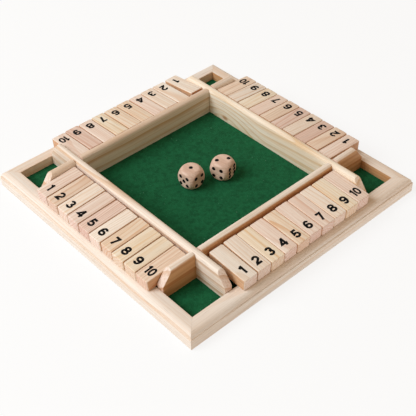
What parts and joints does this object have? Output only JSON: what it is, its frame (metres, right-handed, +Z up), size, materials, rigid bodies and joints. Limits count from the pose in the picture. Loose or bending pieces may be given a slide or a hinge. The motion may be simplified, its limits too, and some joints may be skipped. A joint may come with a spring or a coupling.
{
  "type": "shut the box game",
  "caption": "Square pine dice tray for four players: a felt floor ringed by rows of numbered tiles that flip over on steel rods, with two wooden dice.",
  "frame": {"origin": "middle of the underside of the tray, on the table", "axes": "+Z up; -Y is the side of the front row, whose numbers run from 1 to 10 along +X"},
  "size_m": [0.2192, 0.2192, 0.0277],
  "materials": {
    "rail_pine": "planed and sanded, thin clear satin lacquer",
    "board_pine": "planed and sanded, thin clear satin lacquer",
    "tile_wood": "sanded smooth, thin clear satin lacquer, black printed numerals",
    "panel": "bare thin board",
    "felt": "pressed green felt",
    "steel": "bright drawn rod",
    "dice_wood": "tumbled smooth, waxed, black pips"
  },
  "bodies": {
    "tray": {"base_panel": "panel", "felt_floor": "felt", "rail_front": "rail_pine", "rail_right": "rail_pine", "rail_back": "rail_pine", "rail_left": "rail_pine", "board_front": "board_pine", "board_right": "board_pine", "board_back": "board_pine", "board_left": "board_pine", "rod_front": "steel", "rod_right": "steel", "rod_back": "steel", "rod_left": "steel"},
    "tile_front_01_body": {"tile_front_01": "tile_wood"},
    "tile_front_02_body": {"tile_front_02": "tile_wood"},
    "tile_front_03_body": {"tile_front_03": "tile_wood"},
    "tile_front_04_body": {"tile_front_04": "tile_wood"},
    "tile_front_05_body": {"tile_front_05": "tile_wood"},
    "tile_front_06_body": {"tile_front_06": "tile_wood"},
    "tile_front_07_body": {"tile_front_07": "tile_wood"},
    "tile_front_08_body": {"tile_front_08": "tile_wood"},
    "tile_front_09_body": {"tile_front_09": "tile_wood"},
    "tile_front_10_body": {"tile_front_10": "tile_wood"},
    "tile_right_01_body": {"tile_right_01": "tile_wood"},
    "tile_right_02_body": {"tile_right_02": "tile_wood"},
    "tile_right_03_body": {"tile_right_03": "tile_wood"},
    "tile_right_04_body": {"tile_right_04": "tile_wood"},
    "tile_right_05_body": {"tile_right_05": "tile_wood"},
    "tile_right_06_body": {"tile_right_06": "tile_wood"},
    "tile_right_07_body": {"tile_right_07": "tile_wood"},
    "tile_right_08_body": {"tile_right_08": "tile_wood"},
    "tile_right_09_body": {"tile_right_09": "tile_wood"},
    "tile_right_10_body": {"tile_right_10": "tile_wood"},
    "tile_back_01_body": {"tile_back_01": "tile_wood"},
    "tile_back_02_body": {"tile_back_02": "tile_wood"},
    "tile_back_03_body": {"tile_back_03": "tile_wood"},
    "tile_back_04_body": {"tile_back_04": "tile_wood"},
    "tile_back_05_body": {"tile_back_05": "tile_wood"},
    "tile_back_06_body": {"tile_back_06": "tile_wood"},
    "tile_back_07_body": {"tile_back_07": "tile_wood"},
    "tile_back_08_body": {"tile_back_08": "tile_wood"},
    "tile_back_09_body": {"tile_back_09": "tile_wood"},
    "tile_back_10_body": {"tile_back_10": "tile_wood"},
    "tile_left_01_body": {"tile_left_01": "tile_wood"},
    "tile_left_02_body": {"tile_left_02": "tile_wood"},
    "tile_left_03_body": {"tile_left_03": "tile_wood"},
    "tile_left_04_body": {"tile_left_04": "tile_wood"},
    "tile_left_05_body": {"tile_left_05": "tile_wood"},
    "tile_left_06_body": {"tile_left_06": "tile_wood"},
    "tile_left_07_body": {"tile_left_07": "tile_wood"},
    "tile_left_08_body": {"tile_left_08": "tile_wood"},
    "tile_left_09_body": {"tile_left_09": "tile_wood"},
    "tile_left_10_body": {"tile_left_10": "tile_wood"},
    "die_one_body": {"die_one": "dice_wood"},
    "die_two_body": {"die_two": "dice_wood"}
  },
  "joints": [
    {"name": "flip_front_01", "type": "hinge", "parent": "tray", "child": "tile_front_01_body", "pos_m": [0, -0.0823, 0.0194], "axis": [-1, 0, 0], "range_deg": [0, 136]},
    {"name": "flip_front_02", "type": "hinge", "parent": "tray", "child": "tile_front_02_body", "pos_m": [0, -0.0823, 0.0194], "axis": [-1, 0, 0], "range_deg": [0, 136]},
    {"name": "flip_front_03", "type": "hinge", "parent": "tray", "child": "tile_front_03_body", "pos_m": [0, -0.0823, 0.0194], "axis": [-1, 0, 0], "range_deg": [0, 136]},
    {"name": "flip_front_04", "type": "hinge", "parent": "tray", "child": "tile_front_04_body", "pos_m": [0, -0.0823, 0.0194], "axis": [-1, 0, 0], "range_deg": [0, 136]},
    {"name": "flip_front_05", "type": "hinge", "parent": "tray", "child": "tile_front_05_body", "pos_m": [0, -0.0823, 0.0194], "axis": [-1, 0, 0], "range_deg": [0, 136]},
    {"name": "flip_front_06", "type": "hinge", "parent": "tray", "child": "tile_front_06_body", "pos_m": [0, -0.0823, 0.0194], "axis": [-1, 0, 0], "range_deg": [0, 136]},
    {"name": "flip_front_07", "type": "hinge", "parent": "tray", "child": "tile_front_07_body", "pos_m": [0, -0.0823, 0.0194], "axis": [-1, 0, 0], "range_deg": [0, 136]},
    {"name": "flip_front_08", "type": "hinge", "parent": "tray", "child": "tile_front_08_body", "pos_m": [0, -0.0823, 0.0194], "axis": [-1, 0, 0], "range_deg": [0, 136]},
    {"name": "flip_front_09", "type": "hinge", "parent": "tray", "child": "tile_front_09_body", "pos_m": [0, -0.0823, 0.0194], "axis": [-1, 0, 0], "range_deg": [0, 136]},
    {"name": "flip_front_10", "type": "hinge", "parent": "tray", "child": "tile_front_10_body", "pos_m": [0, -0.0823, 0.0194], "axis": [-1, 0, 0], "range_deg": [0, 136]},
    {"name": "flip_right_01", "type": "hinge", "parent": "tray", "child": "tile_right_01_body", "pos_m": [0.0823, 0, 0.0194], "axis": [0, -1, 0], "range_deg": [0, 136]},
    {"name": "flip_right_02", "type": "hinge", "parent": "tray", "child": "tile_right_02_body", "pos_m": [0.0823, 0, 0.0194], "axis": [0, -1, 0], "range_deg": [0, 136]},
    {"name": "flip_right_03", "type": "hinge", "parent": "tray", "child": "tile_right_03_body", "pos_m": [0.0823, 0, 0.0194], "axis": [0, -1, 0], "range_deg": [0, 136]},
    {"name": "flip_right_04", "type": "hinge", "parent": "tray", "child": "tile_right_04_body", "pos_m": [0.0823, 0, 0.0194], "axis": [0, -1, 0], "range_deg": [0, 136]},
    {"name": "flip_right_05", "type": "hinge", "parent": "tray", "child": "tile_right_05_body", "pos_m": [0.0823, 0, 0.0194], "axis": [0, -1, 0], "range_deg": [0, 136]},
    {"name": "flip_right_06", "type": "hinge", "parent": "tray", "child": "tile_right_06_body", "pos_m": [0.0823, 0, 0.0194], "axis": [0, -1, 0], "range_deg": [0, 136]},
    {"name": "flip_right_07", "type": "hinge", "parent": "tray", "child": "tile_right_07_body", "pos_m": [0.0823, 0, 0.0194], "axis": [0, -1, 0], "range_deg": [0, 136]},
    {"name": "flip_right_08", "type": "hinge", "parent": "tray", "child": "tile_right_08_body", "pos_m": [0.0823, 0, 0.0194], "axis": [0, -1, 0], "range_deg": [0, 136]},
    {"name": "flip_right_09", "type": "hinge", "parent": "tray", "child": "tile_right_09_body", "pos_m": [0.0823, 0, 0.0194], "axis": [0, -1, 0], "range_deg": [0, 136]},
    {"name": "flip_right_10", "type": "hinge", "parent": "tray", "child": "tile_right_10_body", "pos_m": [0.0823, 0, 0.0194], "axis": [0, -1, 0], "range_deg": [0, 136]},
    {"name": "flip_back_01", "type": "hinge", "parent": "tray", "child": "tile_back_01_body", "pos_m": [0, 0.0823, 0.0194], "axis": [1, 0, 0], "range_deg": [0, 135]},
    {"name": "flip_back_02", "type": "hinge", "parent": "tray", "child": "tile_back_02_body", "pos_m": [0, 0.0823, 0.0194], "axis": [1, 0, 0], "range_deg": [0, 136]},
    {"name": "flip_back_03", "type": "hinge", "parent": "tray", "child": "tile_back_03_body", "pos_m": [0, 0.0823, 0.0194], "axis": [1, 0, 0], "range_deg": [0, 136]},
    {"name": "flip_back_04", "type": "hinge", "parent": "tray", "child": "tile_back_04_body", "pos_m": [0, 0.0823, 0.0194], "axis": [1, 0, 0], "range_deg": [0, 136]},
    {"name": "flip_back_05", "type": "hinge", "parent": "tray", "child": "tile_back_05_body", "pos_m": [0, 0.0823, 0.0194], "axis": [1, 0, 0], "range_deg": [0, 136]},
    {"name": "flip_back_06", "type": "hinge", "parent": "tray", "child": "tile_back_06_body", "pos_m": [0, 0.0823, 0.0194], "axis": [1, 0, 0], "range_deg": [0, 136]},
    {"name": "flip_back_07", "type": "hinge", "parent": "tray", "child": "tile_back_07_body", "pos_m": [0, 0.0823, 0.0194], "axis": [1, 0, 0], "range_deg": [0, 136]},
    {"name": "flip_back_08", "type": "hinge", "parent": "tray", "child": "tile_back_08_body", "pos_m": [0, 0.0823, 0.0194], "axis": [1, 0, 0], "range_deg": [0, 136]},
    {"name": "flip_back_09", "type": "hinge", "parent": "tray", "child": "tile_back_09_body", "pos_m": [0, 0.0823, 0.0194], "axis": [1, 0, 0], "range_deg": [0, 136]},
    {"name": "flip_back_10", "type": "hinge", "parent": "tray", "child": "tile_back_10_body", "pos_m": [0, 0.0823, 0.0194], "axis": [1, 0, 0], "range_deg": [0, 136]},
    {"name": "flip_left_01", "type": "hinge", "parent": "tray", "child": "tile_left_01_body", "pos_m": [-0.0823, 0, 0.0194], "axis": [0, 1, 0], "range_deg": [0, 136]},
    {"name": "flip_left_02", "type": "hinge", "parent": "tray", "child": "tile_left_02_body", "pos_m": [-0.0823, 0, 0.0194], "axis": [0, 1, 0], "range_deg": [0, 136]},
    {"name": "flip_left_03", "type": "hinge", "parent": "tray", "child": "tile_left_03_body", "pos_m": [-0.0823, 0, 0.0194], "axis": [0, 1, 0], "range_deg": [0, 136]},
    {"name": "flip_left_04", "type": "hinge", "parent": "tray", "child": "tile_left_04_body", "pos_m": [-0.0823, 0, 0.0194], "axis": [0, 1, 0], "range_deg": [0, 136]},
    {"name": "flip_left_05", "type": "hinge", "parent": "tray", "child": "tile_left_05_body", "pos_m": [-0.0823, 0, 0.0194], "axis": [0, 1, 0], "range_deg": [0, 136]},
    {"name": "flip_left_06", "type": "hinge", "parent": "tray", "child": "tile_left_06_body", "pos_m": [-0.0823, 0, 0.0194], "axis": [0, 1, 0], "range_deg": [0, 136]},
    {"name": "flip_left_07", "type": "hinge", "parent": "tray", "child": "tile_left_07_body", "pos_m": [-0.0823, 0, 0.0194], "axis": [0, 1, 0], "range_deg": [0, 136]},
    {"name": "flip_left_08", "type": "hinge", "parent": "tray", "child": "tile_left_08_body", "pos_m": [-0.0823, 0, 0.0194], "axis": [0, 1, 0], "range_deg": [0, 136]},
    {"name": "flip_left_09", "type": "hinge", "parent": "tray", "child": "tile_left_09_body", "pos_m": [-0.0823, 0, 0.0194], "axis": [0, 1, 0], "range_deg": [0, 136]},
    {"name": "flip_left_10", "type": "hinge", "parent": "tray", "child": "tile_left_10_body", "pos_m": [-0.0823, 0, 0.0194], "axis": [0, 1, 0], "range_deg": [0, 136]},
    {"name": "lift_die_one", "type": "slide", "parent": "tray", "child": "die_one_body", "axis": [0, 0, 1], "range_m": [0, 0.06]},
    {"name": "lift_die_two", "type": "slide", "parent": "tray", "child": "die_two_body", "axis": [0, 0, 1], "range_m": [0, 0.06]}
  ]
}
